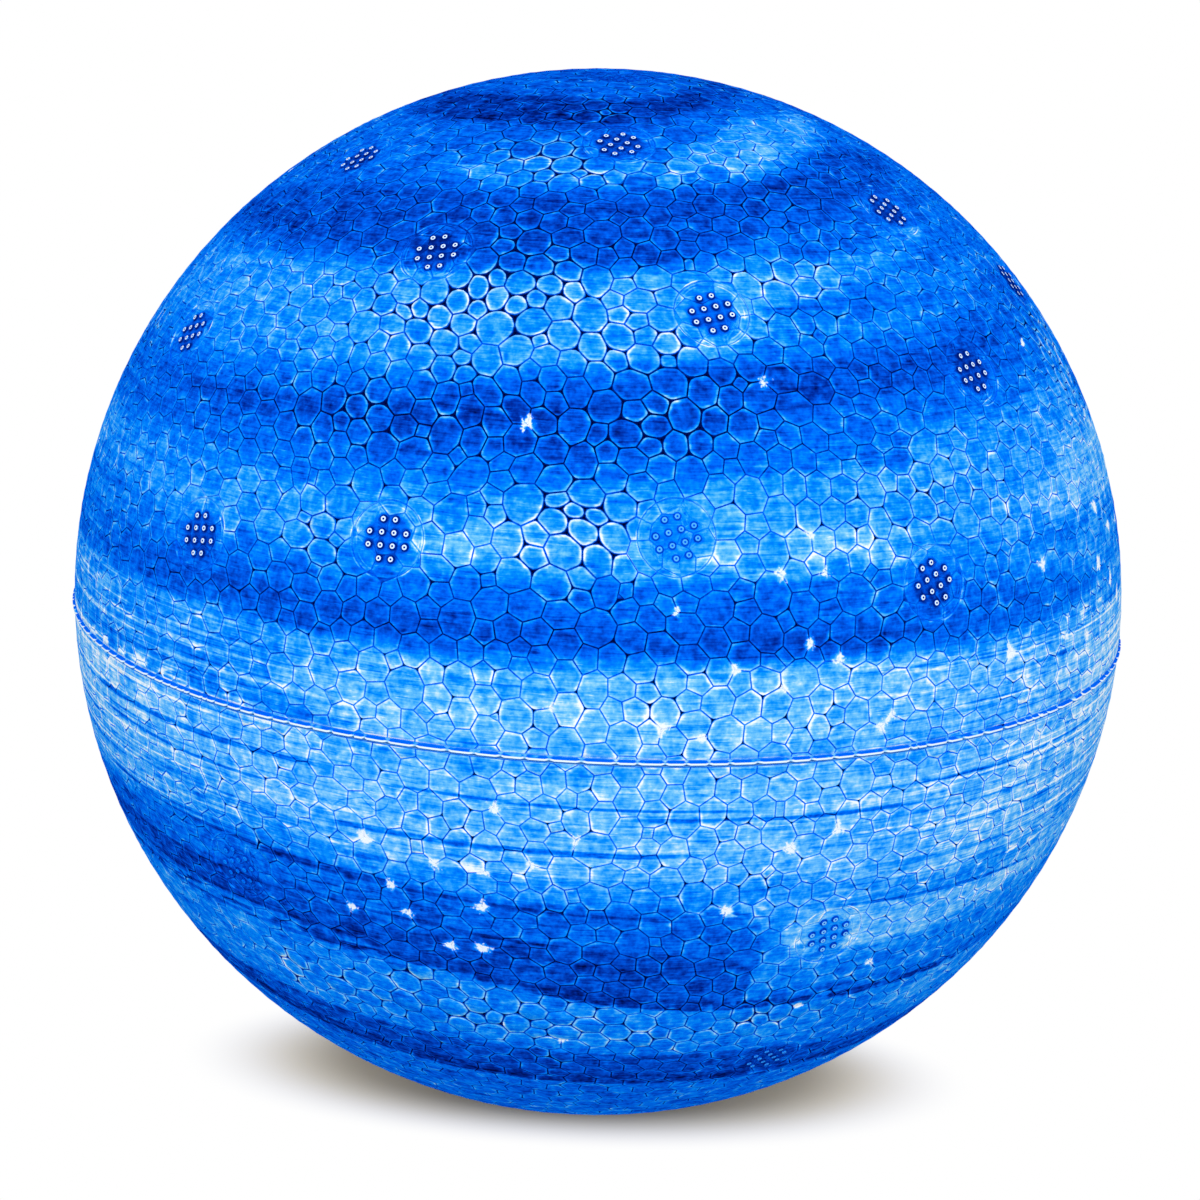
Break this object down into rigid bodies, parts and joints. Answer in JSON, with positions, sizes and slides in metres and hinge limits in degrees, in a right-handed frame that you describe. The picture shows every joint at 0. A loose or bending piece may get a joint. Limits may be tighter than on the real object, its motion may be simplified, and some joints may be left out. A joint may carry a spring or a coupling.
{
  "type": "foam ball",
  "caption": "Hollow bead-foam ball whose half shells plug together at a rebated rim and lift apart, with round vent prints in the skin and brushed blue paint.",
  "frame": {"origin": "centre of the ball, on the plane where the half shells meet", "axes": "+Z square to the parting plane, towards the top of the upper half; -Y towards the side that the picture shows"},
  "size_m": [0.1504, 0.1504, 0.15],
  "materials": {
    "painted_foam": "moulded bead foam under satin blue paint laid on with a brush"
  },
  "bodies": {
    "lower": {"lower_half": "painted_foam"},
    "upper": {"upper_half": "painted_foam"}
  },
  "joints": [
    {"name": "upper_lift", "type": "slide", "parent": "lower", "child": "upper", "axis": [0, 0, 1], "range_m": [0, 0.08]}
  ]
}
